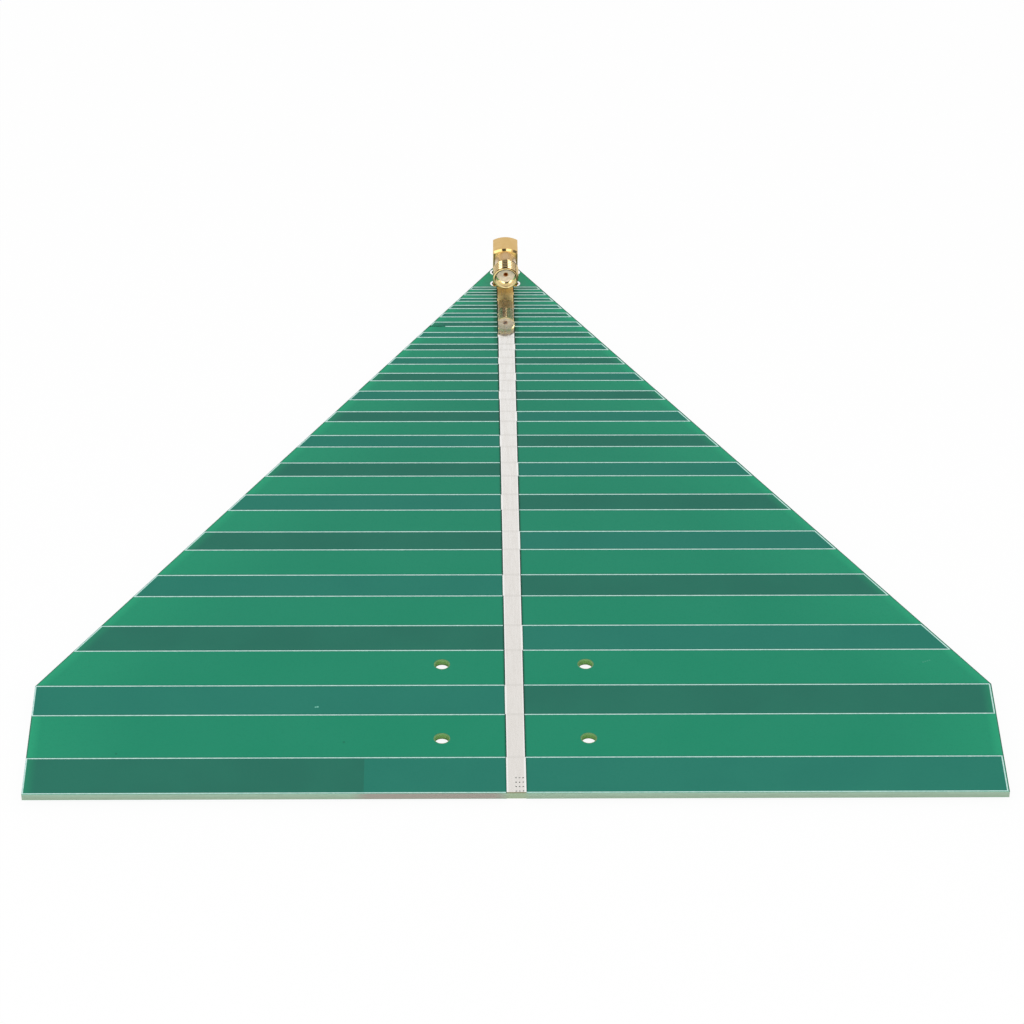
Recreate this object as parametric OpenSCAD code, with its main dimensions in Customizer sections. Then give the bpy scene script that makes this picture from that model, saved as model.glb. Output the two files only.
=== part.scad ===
// Log-periodic antenna etched on both sides of a flat board, with a right-angle coaxial jack at the tip.
// Millimetres. X runs across the board, Y from the wide edge to the tip, Z up.
// The origin is the middle of the four mounting holes, on the underside of the board.

/* [Board] */
// Width across the straight sides
board_w = 210; // [190:1:250]
// Length from the wide edge to the cut-off tip
board_l = 200; // [185:1:220]
// Length of the straight sides before they slant in
side_l = 35.6; // [24:0.1:50]
// Width of the cut-off tip
tip_w = 5.5; // [5.4:0.1:9]
// Finished thickness with copper and coating on both faces
board_t = 1.6; // [0.8:0.1:2.4]
// Thickness of the copper foil
copper_t = 0.035; // [0.018:0.001:0.105]
// Thickness of the green coating over the copper
mask_t = 0.02; // [0.01:0.005:0.05]
// Copper kept back from the cut edges
edge_gap = 0.3; // [0.2:0.05:0.5]

/* [Mounting holes] */
// Diameter of each plain hole
hole_d = 3.2; // [3:0.1:4.5]
// Distance between the holes across the board
hole_pitch_x = 31.75; // [20:0.05:60]
// Distance between the holes along the board
hole_pitch_y = 25; // [24:0.1:26]
// Distance from the wide edge to the middle of the pattern
hole_setback = 30.3; // [29:0.1:31]
// Coating kept back around each hole
hole_clear = 0.2; // [0.2:0.05:0.5]

/* [Feeder] */
// Width of the bare strip on each face
feeder_w = 3.9; // [3:0.1:5]
// Coating kept back beside the strip
feeder_clear = 0.15; // [0.05:0.01:0.2]
// Width of the strip where it runs between the jack's legs on the underside
neck_w = 1.5; // [1:0.1:1.8]
// Open diameter of each small plated hole that joins the strips
via_d = 0.4; // [0.3:0.05:0.5]
// Distance between those holes across the strip
via_pitch_x = 0.76; // [0.7:0.02:0.8]
// Distance between those holes along the strip
via_pitch_y = 1.42; // [1:0.02:1.6]
// Distance from the wide edge to the first holes
via_setback = 0.66; // [0.64:0.02:1]
// Distance from the middle of the strip to the first column
via_offset = -0.06; // [-0.2:0.02:0.1]
// Wall of the plating in every plated hole
plate_t = 0.05; // [0.03:0.01:0.08]

/* [Elements] */
// Number of rows of bars
row_count = 20; // [10:1:22]
// Depth of the first bar from the wide edge
first_bar = 11.6; // [8:0.1:13]
// Distance from the wide edge to the middle of the second row
second_row = 30.7; // [30:0.1:31.4]
// Distance from the middle of the last row to the jack's pin
last_row = 4.56; // [4.5:0.02:5]
// Distance from the tip to the point that all rows close in on
apex_past = 8.1; // [4:0.1:12]
// Depth of the bars in the second row
second_bar = 9.9; // [7:0.1:10.4]
// Reach of the short extra bar on the left of the first row
stub_l = 32.5; // [10:0.5:60]

/* [Print] */
// Width of the white outline around each bar
line_w = 0.28; // [0.2:0.01:0.4]
// Thickness of the white print
line_t = 0.02; // [0.01:0.005:0.05]
// How far the print lies off its place across the board
print_shift_x = -0.13; // [-0.2:0.01:0.2]
// How far the print lies off its place along the board
print_shift_y = -0.1; // [-0.2:0.01:0.05]

/* [Jack] */
// Distance from the tip to the jack's pin
jack_setback = 5; // [4.8:0.1:7]
// Distance between the legs, both ways
leg_pitch = 5.08; // [4.8:0.02:5.1]
// Width of each square leg
leg_w = 0.9; // [0.8:0.05:1.05]
// Metal between a leg and the side of the block
leg_rim = 0.06; // [0.03:0.01:0.4]
// Length of the legs below the board
leg_tail = 1.5; // [1.2:0.1:2.5]
// Height of the block at the middle of its crowned top
block_h = 10.55; // [10.4:0.05:12]
// Radius of the crowned top
crown_r = 5.8; // [5:0.1:9]
// Bevel on the front and back edges of the crown
crown_bevel = 0.45; // [0.2:0.05:0.6]
// Height of the barrel's axis above the board
axis_h = 7.27; // [6.5:0.01:7.3]
// Diameter of the smooth neck of the barrel
neck_d = 5.4; // [5.2:0.05:6.2]
// Length of the smooth neck
neck_l = 3.75; // [1:0.05:4.2]
// Outer diameter of the thread
thread_d = 6.35; // [6.25:0.01:6.4]
// Length of the threaded end
thread_l = 4.4; // [4:0.05:7]
// Bevel at the front end of the thread
thread_bevel = 0.3; // [0.2:0.05:0.4]
// Diameter of the mouth that takes the plug
mouth_d = 5; // [4.7:0.01:5.1]
// Bevel inside the mouth
mouth_bevel = 0.1; // [0.05:0.05:0.25]
// Depth of the white face behind the front end
recess = 1.9; // [1:0.05:2]

/* [Jack inside] */
// Diameter of the white insulator
insulator_d = 4.5; // [4:0.05:4.6]
// Diameter of the centre contact and its pin
contact_d = 1.27; // [1.2:0.01:1.4]
// Diameter of the socket in the contact
socket_d = 0.95; // [0.9:0.01:1]
// Depth of that socket
socket_l = 2.6; // [2:0.1:3]
// Length of the pin below the board
pin_tail = 1.4; // [1:0.1:2]

/* [Soldering] */
// Drilled diameter of the leg and pin holes
drill_d = 1.6; // [1.55:0.05:1.7]
// Diameter of the pads around the legs
pad_d = 2.5; // [2.2:0.05:2.5]
// Diameter of the pad around the pin on the underside
pin_pad_d = 2.3; // [2:0.05:2.4]
// Width of the gap in the upper foil around the pin
pin_gap = 0.6; // [0.4:0.05:0.7]
// Coating kept back around the pads
pad_clear = 0.05; // [0.03:0.01:0.06]
// Height of each solder cone below the board
cone_h = 0.9; // [0.5:0.05:1]
// Solder around the leg at the small end of the cone
cone_rim = 0.12; // [0.08:0.02:0.2]
// Bare rim of the pad around the cone
pad_rim = 0.05; // [0.02:0.01:0.1]
// Depth of the solder below the upper face in the leg holes
solder_sink = 0.6; // [0.3:0.05:0.9]

/* [Hidden] */
$fn = 48;
front_y = -hole_setback;
film_t = copper_t + mask_t;
core_t = board_t - 2 * film_t;
core_top = board_t - film_t;
foil_top = board_t - mask_t;
slope = (board_w - tip_w) / 2 / (board_l - side_l);
slant_k = sqrt(1 + slope * slope);
jack_y = front_y + board_l - jack_setback;
apex = board_l + apex_past;
row_far = apex - second_row;
row_near = jack_setback + last_row + apex_past;
row_ratio = pow(row_near / row_far, 1 / (row_count - 2));
strip_end = front_y + apex - row_near + second_bar * row_near / row_far / 2;
block_w = leg_pitch + leg_w + 2 * leg_rim;
block_y = jack_y - block_w / 2;
barrel_l = neck_l + thread_l;
axis_z = board_t + axis_h;
crown_z = board_t + block_h - crown_r;
face_y = block_y - barrel_l + recess;
via_drill = via_d + 2 * plate_t;
bore_d = drill_d - 2 * plate_t;
pin_gap_d = drill_d + 2 * pin_gap;
feeder_open = feeder_w + 2 * feeder_clear;
cone_r = leg_w * 0.7072 + cone_rim;
cut = 0.5;
lap = 0.5;

// Half width of the board at a distance y from the wide edge, kept back from the cut edges by inset
function edge_x(y, inset) =
    min(board_w / 2 - inset, board_w / 2 - slope * (y - side_l) - inset * slant_k);

// Place of the corner between a straight side and a slant, kept back by inset
function corner_y(inset) = side_l - inset * (slant_k - 1) / slope;

// Share of the second row's distance and depth that is left in row n
function shrink(n) = pow(row_ratio, n - 2);

// Front and back edge of the bars in row n, from the wide edge
function bar_front(n) = n == 1 ? edge_gap : apex - (row_far + second_bar / 2) * shrink(n);
function bar_back(n) = n == 1 ? first_bar : apex - (row_far - second_bar / 2) * shrink(n);

// Corners of a strip between y0 and y1 that runs from x0 out to the kept-back edge, on one side
function strip(side, x0, y0, y1, inset) = concat(
    [[side * x0, y0], [side * edge_x(y0, inset), y0]],
    y0 < corner_y(inset) && corner_y(inset) < y1
        ? [[side * edge_x(corner_y(inset), inset), corner_y(inset)]]
        : [],
    [[side * edge_x(y1, inset), y1], [side * x0, y1]]);

// The board's outline as a flat sheet
module sheet(z0, h) {
    translate([0, front_y, z0])
        linear_extrude(height = h)
            polygon([
                [-board_w / 2, 0],
                [board_w / 2, 0],
                [board_w / 2, side_l],
                [tip_w / 2, board_l],
                [-tip_w / 2, board_l],
                [-board_w / 2, side_l]
            ]);
}

// One bar of a row
module bar(side, n, z0, h) {
    translate([0, front_y, z0])
        linear_extrude(height = h)
            polygon(strip(side, 0, bar_front(n), bar_back(n), edge_gap));
}

// Every bar on one face: odd rows reach to one side and even rows to the other
module bars(odd_side, z0, h) {
    for (n = [1 : row_count])
        bar(n % 2 == 1 ? odd_side : -odd_side, n, z0, h);
}

// A strip of given width along the middle line
module run(w, y0, y1, z0, h) {
    translate([-w / 2, y0, z0])
        cube([w, y1 - y0, h]);
}

// Upright cylinders at the four mounting holes
module at_mounts(d, z0, h) {
    for (sx = [-1, 1], sy = [-1, 1])
        translate([sx * hole_pitch_x / 2, sy * hole_pitch_y / 2, z0])
            cylinder(d = d, h = h);
}

// Upright cylinders at the four legs
module at_legs(d, z0, h) {
    for (sx = [-1, 1], sy = [-1, 1])
        translate([sx * leg_pitch / 2, jack_y + sy * leg_pitch / 2, z0])
            cylinder(d = d, h = h);
}

// Upright cylinder at the pin
module at_pin(d, z0, h) {
    translate([0, jack_y, z0])
        cylinder(d = d, h = h);
}

// Upright cylinders at the small plated holes
module at_vias(d, z0, h) {
    for (i = [0 : 2], j = [0 : 3])
        translate([via_offset + i * via_pitch_x, front_y + via_setback + j * via_pitch_y, z0])
            cylinder(d = d, h = h);
}

// Every drilled hole that is plated
module plated_holes(z0, h) {
    at_vias(via_drill, z0, h);
    at_legs(drill_d, z0, h);
    at_pin(drill_d, z0, h);
}

// Copper on the upper face: strip, bars, short extra bar and leg pads
module top_pattern(z0, h) {
    run(feeder_w, front_y + edge_gap, jack_y + leg_pitch / 2, z0, h);
    bars(1, z0, h);
    translate([-stub_l, front_y + edge_gap, z0])
        cube([stub_l, first_bar - edge_gap, h]);
    at_legs(pad_d, z0, h);
}

// Copper on the lower face: strip that narrows between the legs, bars, and pin pad
module bottom_pattern(z0, h) {
    run(feeder_w, front_y + edge_gap, strip_end, z0, h);
    run(neck_w, strip_end - lap, jack_y, z0, h);
    bars(-1, z0, h);
    at_pin(pin_pad_d, z0, h);
}

// Glass-filled board with all its holes
module laminate() {
    color([0.62, 0.69, 0.58])
        difference() {
            sheet(film_t, core_t);
            at_mounts(hole_d, -cut, board_t + 2 * cut);
            plated_holes(-cut, board_t + 2 * cut);
        }
}

// Tinned foil on the upper face
module top_copper() {
    color([0.88, 0.87, 0.84])
        difference() {
            top_pattern(core_top, copper_t);
            at_mounts(hole_d + 2 * hole_clear, core_top - cut, 2 * cut);
            at_pin(pin_gap_d, core_top - cut, 2 * cut);
            at_vias(via_drill, core_top - cut, 2 * cut);
            at_legs(drill_d, core_top - cut, 2 * cut);
        }
}

// Tinned foil on the lower face, with the four leg pads that stand alone
module bottom_copper() {
    color([0.88, 0.87, 0.84])
        difference() {
            union() {
                bottom_pattern(mask_t, copper_t);
                at_legs(pad_d, mask_t, copper_t);
            }
            at_mounts(hole_d + 2 * hole_clear, mask_t - cut, 2 * cut);
            plated_holes(mask_t - cut, 2 * cut);
        }
}

// Plating inside the small holes, the leg holes and the pin hole
module hole_plating() {
    color([0.85, 0.83, 0.78])
        difference() {
            plated_holes(mask_t, foil_top - mask_t);
            at_vias(via_d, -cut, board_t + 2 * cut);
            at_legs(bore_d, -cut, board_t + 2 * cut);
            at_pin(bore_d, -cut, board_t + 2 * cut);
        }
}

// Green coating on the upper face, open over the strip, the pads and the holes
module top_mask() {
    color([0.17, 0.55, 0.43])
        difference() {
            sheet(core_top, film_t);
            top_pattern(core_top - cut, cut + copper_t);
            run(feeder_open, front_y - cut, jack_y + leg_pitch / 2, core_top - cut, 2 * cut);
            at_legs(pad_d + 2 * pad_clear, core_top - cut, 2 * cut);
            at_mounts(hole_d + 2 * hole_clear, core_top - cut, 2 * cut);
        }
}

// Green coating on the lower face, open over the strip, the pads and the holes
module bottom_mask() {
    color([0.17, 0.55, 0.43])
        difference() {
            sheet(0, film_t);
            bottom_pattern(mask_t, film_t - mask_t + cut);
            run(feeder_open, front_y - cut, strip_end, -cut, 2 * cut);
            run(neck_w + 2 * feeder_clear, strip_end - lap, jack_y, -cut, 2 * cut);
            at_pin(pin_pad_d + 2 * pad_clear, -cut, 2 * cut);
            at_legs(pad_d + 2 * pad_clear, -cut, 2 * cut);
            at_mounts(hole_d + 2 * hole_clear, -cut, 2 * cut);
        }
}

// White outline of one bar, open towards the strip
module outline(side, n) {
    translate([0, front_y, board_t])
        difference() {
            linear_extrude(height = line_t)
                polygon(strip(side, feeder_open / 2, bar_front(n) - line_w / 2,
                              bar_back(n) + line_w / 2, edge_gap - line_w / 2));
            translate([0, 0, -cut])
                linear_extrude(height = 2 * cut)
                    polygon(strip(side, feeder_open / 2 - cut, bar_front(n) + line_w / 2,
                                  bar_back(n) - line_w / 2, edge_gap + line_w / 2));
        }
}

// White print on the upper face, cut off where it would pass the board's edge or the bare strip
module top_print() {
    color([0.93, 0.95, 0.93])
        difference() {
            intersection() {
                sheet(board_t - cut, 2 * cut);
                translate([print_shift_x, print_shift_y, 0])
                    for (n = [1 : row_count], side = [-1, 1])
                        outline(side, n);
            }
            run(feeder_open, front_y - cut, jack_y, board_t - cut, 2 * cut);
        }
}

// Crowned block, barrel and four legs of the jack, one piece of metal
module jack_body() {
    color([0.84, 0.70, 0.42])
        difference() {
            union() {
                jack_block();
                jack_barrel();
                jack_legs();
            }
            jack_bore();
        }
}

// Square block with a crowned top, bevelled at the front and the back
module jack_block() {
    translate([-block_w / 2, block_y, board_t])
        cube([block_w, block_w, crown_z - board_t]);
    intersection() {
        translate([-block_w / 2, block_y, crown_z])
            cube([block_w, block_w, crown_r + cut]);
        translate([0, block_y + block_w, crown_z])
            rotate([90, 0, 0])
                crown_drum();
    }
}

// Drum with bevelled ends that gives the crown its curve
module crown_drum() {
    cylinder(r1 = crown_r - crown_bevel, r2 = crown_r, h = crown_bevel, $fn = 96);
    translate([0, 0, crown_bevel])
        cylinder(r = crown_r, h = block_w - 2 * crown_bevel, $fn = 96);
    translate([0, 0, block_w - crown_bevel])
        cylinder(r1 = crown_r, r2 = crown_r - crown_bevel, h = crown_bevel, $fn = 96);
}

// Smooth neck and threaded end of the barrel
module jack_barrel() {
    translate([0, block_y + lap, axis_z])
        rotate([90, 0, 0])
            cylinder(d = neck_d, h = neck_l + 2 * lap);
    translate([0, block_y - neck_l, axis_z])
        rotate([90, 0, 0]) {
            cylinder(d1 = thread_d - 2 * thread_bevel, d2 = thread_d, h = thread_bevel);
            translate([0, 0, thread_bevel])
                cylinder(d = thread_d, h = thread_l - 2 * thread_bevel);
            translate([0, 0, thread_l - thread_bevel])
                cylinder(d1 = thread_d, d2 = thread_d - 2 * thread_bevel, h = thread_bevel);
        }
}

// Four square legs under the block
module jack_legs() {
    for (sx = [-1, 1], sy = [-1, 1])
        translate([sx * leg_pitch / 2 - leg_w / 2, jack_y + sy * leg_pitch / 2 - leg_w / 2, -leg_tail])
            cube([leg_w, leg_w, leg_tail + board_t + lap]);
}

// Mouth for the plug and the passage that the insulator fills
module jack_bore() {
    translate([0, face_y, axis_z])
        rotate([90, 0, 0]) {
            cylinder(d = mouth_d, h = recess + cut);
            translate([0, 0, recess - mouth_bevel])
                cylinder(d1 = mouth_d, d2 = mouth_d + 2 * mouth_bevel, h = mouth_bevel);
        }
    insulator_form(cut);
}

// Bent passage from the white face to the underside of the block
module insulator_form(below) {
    translate([0, jack_y, axis_z])
        rotate([90, 0, 0])
            cylinder(d = insulator_d, h = jack_y - face_y);
    translate([0, jack_y, board_t - below])
        cylinder(d = insulator_d, h = axis_h + below);
    translate([0, jack_y, axis_z])
        sphere(d = insulator_d);
}

// White insulator around the contact
module jack_insulator() {
    color([0.85, 0.81, 0.75])
        difference() {
            insulator_form(0);
            contact_form(contact_d, cut);
        }
}

// Rod from the white face to the bend, and pin from the bend down through the board
module contact_form(d, ahead) {
    translate([0, jack_y, axis_z])
        rotate([90, 0, 0])
            cylinder(d = d, h = jack_y - face_y + ahead);
    translate([0, jack_y, -pin_tail])
        cylinder(d = d, h = pin_tail + axis_z);
    translate([0, jack_y, axis_z])
        sphere(d = d);
}

// Centre contact with the socket in its front end
module jack_contact() {
    color([0.80, 0.62, 0.32])
        difference() {
            contact_form(contact_d, 0);
            translate([0, face_y + socket_l, axis_z])
                rotate([90, 0, 0])
                    cylinder(d = socket_d, h = socket_l + cut);
        }
}

// Solder in the leg holes and the pin hole, with a cone on each pad below
module solder_joints() {
    color([0.80, 0.80, 0.79])
        difference() {
            union() {
                for (sx = [-1, 1], sy = [-1, 1])
                    translate([sx * leg_pitch / 2, jack_y + sy * leg_pitch / 2, 0])
                        joint(pad_d, foil_top - solder_sink);
                translate([0, jack_y, 0])
                    joint(pin_pad_d, foil_top);
            }
            jack_legs();
            at_pin(contact_d, -2 * pin_tail, 2 * board_t + 2 * pin_tail);
        }
}

// One joint that fills its hole up to a level, before its leg or pin is taken out
module joint(pad, level) {
    translate([0, 0, mask_t])
        cylinder(d = bore_d, h = level - mask_t);
    translate([0, 0, mask_t - cone_h])
        cylinder(r1 = cone_r, r2 = pad / 2 - pad_rim, h = cone_h);
}

laminate();
top_copper();
bottom_copper();
hole_plating();
top_mask();
bottom_mask();
top_print();
jack_body();
jack_insulator();
jack_contact();
solder_joints();
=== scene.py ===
import math

import bmesh
import bpy
from mathutils import Matrix, Vector


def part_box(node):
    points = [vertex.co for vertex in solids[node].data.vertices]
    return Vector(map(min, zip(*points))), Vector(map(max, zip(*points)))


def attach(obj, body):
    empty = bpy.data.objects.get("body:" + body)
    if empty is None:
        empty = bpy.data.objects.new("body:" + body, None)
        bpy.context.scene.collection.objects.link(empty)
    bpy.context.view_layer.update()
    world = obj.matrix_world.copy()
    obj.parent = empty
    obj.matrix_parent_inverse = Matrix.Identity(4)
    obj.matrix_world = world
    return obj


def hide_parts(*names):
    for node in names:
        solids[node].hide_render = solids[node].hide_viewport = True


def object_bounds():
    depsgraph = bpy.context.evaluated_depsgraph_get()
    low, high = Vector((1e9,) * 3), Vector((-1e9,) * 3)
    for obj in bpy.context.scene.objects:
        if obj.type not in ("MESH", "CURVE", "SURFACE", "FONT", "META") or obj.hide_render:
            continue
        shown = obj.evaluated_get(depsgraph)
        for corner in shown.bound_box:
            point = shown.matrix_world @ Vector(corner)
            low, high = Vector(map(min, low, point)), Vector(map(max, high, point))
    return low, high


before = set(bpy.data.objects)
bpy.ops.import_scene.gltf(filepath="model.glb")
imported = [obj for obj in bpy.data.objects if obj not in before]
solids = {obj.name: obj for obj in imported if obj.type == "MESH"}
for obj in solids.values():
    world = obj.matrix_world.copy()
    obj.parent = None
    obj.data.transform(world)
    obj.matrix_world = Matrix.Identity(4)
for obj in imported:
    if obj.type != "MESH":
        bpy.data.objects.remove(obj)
cad_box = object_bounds()

MM = 0.001


def span(node):
    """A solid's lowest and highest corners, in millimetres."""
    return [[round(c / MM, 3) for c in corner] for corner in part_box(node)]


board_low, board_high = span("laminate")
jack_low, jack_high = span("jack_body")
insulator_low, insulator_high = span("jack_insulator")

# Board, in millimetres
BOARD_W = board_high[0] - board_low[0]
BOARD_L = board_high[1] - board_low[1]
BOARD_T = span("top_mask")[1][2]
FRONT_Y = board_low[1]
SIDE_L = 35.6
TIP_W = 5.5
SLOPE = (BOARD_W - TIP_W) / 2 / (BOARD_L - SIDE_L)
SLANT_K = math.sqrt(1 + SLOPE * SLOPE)
EDGE_GAP = 0.3
HOLE_X = 15.875
HOLE_Y = 12.5
HOLE_AREA = (2.4, 2.6)
FEEDER_W = 3.9

# Rows of bars, counted from the wide edge
FIRST_BAR = 11.6
SECOND_BAR = 9.9
STUB_L = 32.5
APEX = 208.1
ROW_FAR = 177.4
ROW_NEAR = 17.66
ROW_STEPS = 18
ROW_RATIO = (ROW_NEAR / ROW_FAR) ** (1 / ROW_STEPS)

# The stretch of a printed line that is missing: its row, and the place that it lies left of
GAP_STEP = 13
GAP_X = -15.05

# Jack: EASE is the step by which its corners are eased
BLOCK_W = 6.1
JACK_Y = jack_high[1] - BLOCK_W / 2
BLOCK_Y = JACK_Y - BLOCK_W / 2
BLOCK_LAP = 0.3
BLOCK_ROUND = 0.07
CROWN_R = 5.8
CROWN_Z = jack_high[2] - CROWN_R
CROWN_BEVEL = 0.45
AXIS_Z = 8.87
NECK_R = 2.7
NECK_END = 157.9
MOUTH_R = 2.5
MOUTH_BEVEL = 0.1
FACE_Y = insulator_low[1]
PASSAGE_R = insulator_high[0]
EASE = 0.02

# Thread: SINK is how far its root lies in the core, RUN_IN and RUN_OUT how steeply it rises at its ends
THREAD_R = jack_high[0]
THREAD_END = jack_low[1]
THREAD_PITCH = 25.4 / 36
THREAD_START = 0.35
FLANK_ANGLE = 30
CORE_R = 2.85
SINK = 0.02
RUN_IN = 1.3
RUN_OUT = 1.1

# Legs, and the solder that holds them and the pin
LEG_PITCH = 5.08
LEG_W = 0.9
LEG_TAIL = -jack_low[2]
LEG_LAP = 0.2
LEG_FOOT = 0.18
LEG_ROUND = 0.06
LEG_BORE_R = 0.75
LEG_PLACES = [(sx * LEG_PITCH / 2, JACK_Y + sy * LEG_PITCH / 2) for sx in (-1, 1) for sy in (-1, 1)]
PIN_PLACES = [(0, JACK_Y)]
PAD_FACE = 0.02
LEG_RIM = 1.2
LEG_NECK = 0.78
LEG_LEVEL = 0.98
PIN_RIM = 1.1
PIN_NECK = 0.72
PIN_LEVEL = BOARD_T - 0.03
SOLDER_H = 0.9
SOLDER_LIP = 0.03
SOLDER_SLACK = 0.005
SOLDER_DISH = 0.08
SOLDER_DISH_SHARE = 0.7
SOLDER_HOLLOW = 2.1
SOLDER_STEPS = 9

# How finely round shapes are cut, and how close points are when they become one
CROWN_SIDES = 144
BARREL_SIDES = 128
THREAD_SIDES = 72
SOLDER_SIDES = 40
FLOOR_SIDES = 96
MERGE = 0.002
CROWN_MERGE = 0.04

# Angles in degrees: which edges are rounded, and across which the shading stays smooth
ROUND_ANGLE = 60
SHELL_SMOOTH = 28
SOLDER_SMOOTH = 60

# Borders of painted areas: how soft they are, and how wide the line along a row's edge is
BLUR = 0.04
ROW_LINE = (0.25, 0.5)

# Stretches over which a tone changes, along the board from the wide edge
GREEN_STRETCH = (20.0, 190.0)
TIN_STRETCH = (0.0, 190.0)
TIP_STRETCH = (182.0, 193.0)
STRIP_SHADE_STRETCH = (120.0, 185.0)
BARREL_SHADOW_START = (160.0, 176.0)
BARREL_SHADOW_STOP = (189.0, 191.0)
PAD_START = (189.5, 190.5)
LEG_HOLE_SHADE_START = (180.0, 181.0)
FRONT_EDGE = (1.0, 2.0)
SLANT_START = (1.0, 3.0)

# Stretches across the front edge that are greyer, and yellower under the feeder strip
GREY_START = (-36.0, -31.0)
GREY_STOP = (-5.0, -0.8)
UNDER_FEEDER = (1.2, 3.2)

# Distances from the board's sides and from the feeder strip over which a tone fades
SIDE_GLOW = (0.0, 4.0)
SIDE_WASH = (0.0, 26.0)
SIDE_BEHIND_GLOW = (0.0, 3.0)
SIDE_CUT = (0.12, 0.3)
STRIP_SHADE_SIDE = (0.2, 0.6)
BARREL_SHADOW_SIDE = (0.8, 1.5)
WHITER_SIDE = (-0.28, -0.18)

# Heights over which a tone changes: hole walls, solder, and the block's front face
WALL_SHADE_FOOT = (0.1, 0.5)
WALL_LIGHT_TOP = (1.15, 1.5)
SOLDER_SHADE_START = (0.4, 0.7)
FACE_LIGHT = (5.5, 7.5)
FACE_FOOT_SHADE = (3.3, 5.8)

# Distances across over which a tone changes: from the jack's middle, and for the corner from the block's side
NECK_SHEEN_SIDE = (0.8, 2.2)
THREAD_SHADE_SIDE = (1.3, 2.0)
CORNER_SHADE_SIDE = (-0.65, -0.4)

# Wavelengths of the board's weave, of its layers and of the turned rings on the insulator
WARP = 0.61
WEFT = 0.53
LAYER = 0.19
RING = 0.16

# Marks on the upper coating: place across, place along, size and tone, and a scratch of four like marks
SPECKS = [
    (-43.4, -2.0, 0.26, (112, 188, 168)),
    (-42.95, -1.92, 0.30, (120, 195, 175)),
    (-37.0, -13.65, 0.36, (27, 120, 91)),
    (-85.8, -17.3, 0.34, (28, 120, 92)),
]
SPECKS += [(90.7 + 0.5 * i, 12.85 + 0.21 * i, 0.26, (63, 151, 123)) for i in range(4)]

# Studio, in metres
FLOOR_R = 4.0
FLOOR_APRON = 3.4
FLOOR_Y = 0.07
FLOOR_GLOW = 0.95
FLOOR_TONES = ((0.96, 0.96, 0.96, 1.0), (0.99, 0.99, 0.99, 1.0))
WHITE = (1.0, 1.0, 1.0, 1.0)
AMBIENT = 0.729
LAMP_TARGET = Vector((0, 0.157, 0.009))
LAMP_AWAY = 1.0
LAMP_H = 0.54

# Dark panels in the metal's surroundings: places aside and heights, as directions, and how dark each is
MIDDLE_PANEL_X = -0.14
MIDDLE_PANEL_HALF = (0.25, 0.31)
MIDDLE_PANEL_FOOT = (0.02, 0.15)
MIDDLE_PANEL_TOP = (0.86, 0.95)
MIDDLE_PANEL_DARK = 0.87
RIGHT_PANEL_NEAR = (0.88, 0.94)
RIGHT_PANEL_FAR = (1.7, 2.1)
RIGHT_PANEL_TOP = (0.70, 0.78)
RIGHT_PANEL_DARK = 0.75
PANEL_FRONT = (0.1, 0.2)

# Soft boxes: azimuth and elevation in degrees, width in metres, and level, where a face of 1 looks white
LAMPS = {
    "low_box_left": (-28.5, 19, 0.24, 2.2),
    "low_box_right": (15.5, 19, 0.27, 2.2),
    "high_box_left": (-40, 45, 0.42, 1.3),
    "high_box_right": (21, 45, 0.32, 1.3),
}

# The photograph's viewpoint: place in metres, angles in radians, focal length in the photograph's pixels
CAMERA_PLACE = (-0.01429, -0.64868, 0.55142)
CAMERA_YAW = 0.02049
CAMERA_PITCH = 0.654498
CAMERA_ROLL = 0.01061
FOCAL_PX = 3887.3
PHOTO_PX = 1024
SENSOR_MM = 36.0
NEAREST = 0.05
FARTHEST = 20.0


# Shader nodes

def shade(red, green, blue):
    """A colour as seen on a screen, 0 to 255, in the numbers that a shader takes."""
    def one(c):
        c = c / 255
        return c / 12.92 if c <= 0.04045 else ((c + 0.055) / 1.055) ** 2.4
    return (one(red), one(green), one(blue), 1.0)


class Value:
    """A shader socket that can stand in a Python expression."""

    def __init__(self, nodes, socket):
        self.nodes = nodes
        self.socket = socket

    def __add__(self, other):
        return self.nodes.math("ADD", self, other)

    __radd__ = __add__

    def __sub__(self, other):
        return self.nodes.math("SUBTRACT", self, other)

    def __rsub__(self, other):
        return self.nodes.math("SUBTRACT", other, self)

    def __mul__(self, other):
        return self.nodes.math("MULTIPLY", self, other)

    __rmul__ = __mul__

    def __truediv__(self, other):
        return self.nodes.math("DIVIDE", self, other)

    def __rtruediv__(self, other):
        return self.nodes.math("DIVIDE", other, self)

    def __pow__(self, other):
        return self.nodes.math("POWER", self, other)

    def __rpow__(self, other):
        return self.nodes.math("POWER", other, self)

    def __mod__(self, other):
        return self.nodes.math("FLOORED_MODULO", self, other)

    def __rmod__(self, other):
        return self.nodes.math("FLOORED_MODULO", other, self)

    def __abs__(self):
        return self.nodes.math("ABSOLUTE", self)


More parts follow.
